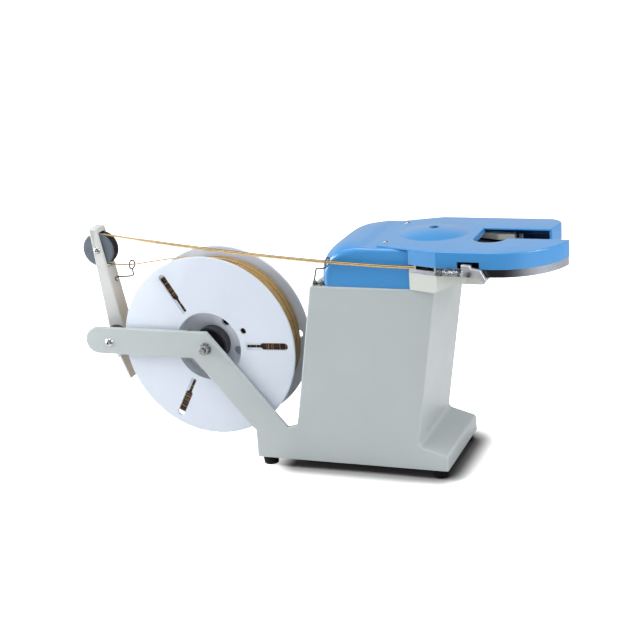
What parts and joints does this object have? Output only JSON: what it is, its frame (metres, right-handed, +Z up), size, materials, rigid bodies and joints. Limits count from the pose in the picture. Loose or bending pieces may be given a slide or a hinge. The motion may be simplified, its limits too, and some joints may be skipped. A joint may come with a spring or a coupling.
{
  "type": "twist tie machine",
  "caption": "Bench-top machine that feeds wire-cored ribbon from a side reel over a dancer arm and twists it round a bag neck pushed into the open mouth.",
  "frame": {"origin": "point on the bench below the middle of the overall bounding box; the ground faces of the rubber feet are z = 0", "axes": "+X points from the reel side towards the open mouth of the tying head, +Y from the operator's near side (reel arm, ribbon run) to the far side, +Z up"},
  "size_m": [0.6692, 0.183, 0.3187],
  "materials": {
    "pedestal_paint": "satin grey enamel over sheet steel",
    "base_sheet": "zinc plated sheet",
    "foot_rubber": "matte black moulded rubber",
    "fastener_steel": "machined zinc-plated steel",
    "stainless": "turned stainless steel",
    "black_oxide": "black oxide steel",
    "neck_paint": "light grey enamel on a casting",
    "plate_steel": "ground edges and satin faces",
    "inlet_black": "black moulding",
    "cover_blue": "blue gloss enamel with soft highlights",
    "reel_plastic": "bluish-white injection-moulded plastic",
    "ribbon_gold": "metallised gold film over a wire core",
    "adapter_black": "black nylon",
    "bush_bronze": "sintered bronze",
    "dancer_paint": "light grey enamel on folded sheet",
    "pulley_plastic": "blue-grey nylon with a dark rim",
    "spring_steel": "bright spring wire",
    "wire_steel": "bright formed wire",
    "lever_zinc": "die-cast zinc, tumbled",
    "motor_case": "black enamelled motor can",
    "alu_pulley": "turned aluminium",
    "belt_rubber": "moulded belt rubber",
    "shaft_steel": "ground shaft steel",
    "bearing_steel": "polished bearing races",
    "gear_steel": "cut teeth, oiled",
    "cam_steel": "hardened and ground",
    "needle_cream": "cream enamel on a casting",
    "tip_steel": "hardened tool steel",
    "guide_black": "black acetal",
    "switch_body": "dark phenolic",
    "board_green": "green solder mask over fibreglass",
    "inlet_plastic": "black nylon",
    "rocker_red": "red translucent key"
  },
  "bodies": {
    "stand": {"axle_nut": "stainless", "axle_thumb_collar": "adapter_black", "axle_washers": "stainless", "base_plate": "base_sheet", "base_plate_screws": "fastener_steel", "control_board": "board_green", "cover_screws": "stainless", "dancer_pivot_screw": "stainless", "dancer_spacer": "black_oxide", "dancer_spring": "spring_steel", "drive_belt": "belt_rubber", "drive_motor": "motor_case", "foot_screws": "fastener_steel", "front_cover": "cover_blue", "head_plate": "plate_steel", "head_socket_screws": "black_oxide", "lever_pin": "stainless", "lever_spring": "spring_steel", "main_bearings": "bearing_steel", "microswitch": "switch_body", "motor_screws": "black_oxide", "neck_casting": "neck_paint", "pedestal_housing": "pedestal_paint", "pivot_locknut": "stainless", "power_inlet": "inlet_plastic", "rear_cover": "cover_blue", "rear_eye_screws": "stainless", "rear_eye_wire": "wire_steel", "reel_axle": "shaft_steel", "ribbon_inlet_guide": "inlet_black", "rubber_feet": "foot_rubber", "spring_anchor_screw": "stainless", "switch_frame": "inlet_black", "tie_ribbon": "ribbon_gold", "trigger_guide": "guide_black", "twister_bearing_block": "bush_bronze"},
    "reel": {"reel_near_flange": "reel_plastic", "reel_far_flange": "reel_plastic", "reel_core": "reel_plastic", "wound_ribbon": "ribbon_gold", "hub_adapter": "adapter_black", "hub_bushes": "adapter_black"},
    "dancer": {"dancer_arm": "dancer_paint", "pulley_axle": "stainless", "front_eye_wire": "wire_steel", "front_eye_screw": "stainless"},
    "pulley": {"guide_pulley": "pulley_plastic"},
    "lever": {"release_lever": "lever_zinc"},
    "rotor": {"motor_pulley": "alu_pulley"},
    "drive_spindle": {"main_shaft": "shaft_steel", "driven_pulley": "alu_pulley", "bevel_gear": "gear_steel", "cam_disc": "cam_steel"},
    "twister": {"bevel_pinion": "gear_steel", "twister_hook": "tip_steel"},
    "needle": {"needle_arm": "needle_cream", "needle_tip": "tip_steel", "needle_shaft": "shaft_steel"},
    "trigger": {"trigger_plunger": "inlet_black"},
    "rocker": {"rocker_button": "rocker_red"}
  },
  "joints": [
    {"name": "reel_spin", "type": "hinge", "parent": "stand", "child": "reel", "pos_m": [-0.14742, -0.0285, 0.1635], "axis": [0, 1, 0], "continuous": true},
    {"name": "dancer_swing", "type": "hinge", "parent": "stand", "child": "dancer", "pos_m": [-0.29332, -0.0285, 0.165], "axis": [0, 1, 0], "range_deg": [-17, 16], "deforming": ["tie_ribbon", "dancer_spring"]},
    {"name": "pulley_spin", "type": "hinge", "parent": "dancer", "child": "pulley", "pos_m": [-0.31142, -0.0285, 0.288], "axis": [0, 1, 0], "continuous": true},
    {"name": "lever_swing", "type": "hinge", "parent": "stand", "child": "lever", "pos_m": [0.22658, -0.0852, 0.2855], "axis": [0, 1, 0], "range_deg": [-8, 10], "deforming": ["lever_spring"]},
    {"name": "spindle_spin", "type": "hinge", "parent": "stand", "child": "drive_spindle", "pos_m": [0.15508, 0.014, 0.285], "axis": [0, 0, 1], "continuous": true},
    {"name": "motor_spin", "type": "hinge", "parent": "stand", "child": "rotor", "pos_m": [0.05158, 0.0065, 0.2], "axis": [0, 0, 1], "continuous": true},
    {"name": "twister_spin", "type": "hinge", "parent": "stand", "child": "twister", "pos_m": [0.18958, 0.014, 0.285], "axis": [1, 0, 0], "continuous": true},
    {"name": "needle_swing", "type": "hinge", "parent": "stand", "child": "needle", "pos_m": [0.19158, 0.0665, 0.296], "axis": [0, 0, 1], "range_deg": [-55, 0]},
    {"name": "trigger_press", "type": "slide", "parent": "stand", "child": "trigger", "axis": [1, 0, 0], "range_m": [-0.005, 0]},
    {"name": "rocker_tilt", "type": "hinge", "parent": "stand", "child": "rocker", "pos_m": [0.11158, 0.0795, 0.05], "axis": [1, 0, 0], "range_deg": [0, 16]}
  ],
  "couplings": [
    {"joint": "motor_spin", "follows": "spindle_spin", "ratio": 2},
    {"joint": "twister_spin", "follows": "spindle_spin", "ratio": 2}
  ]
}
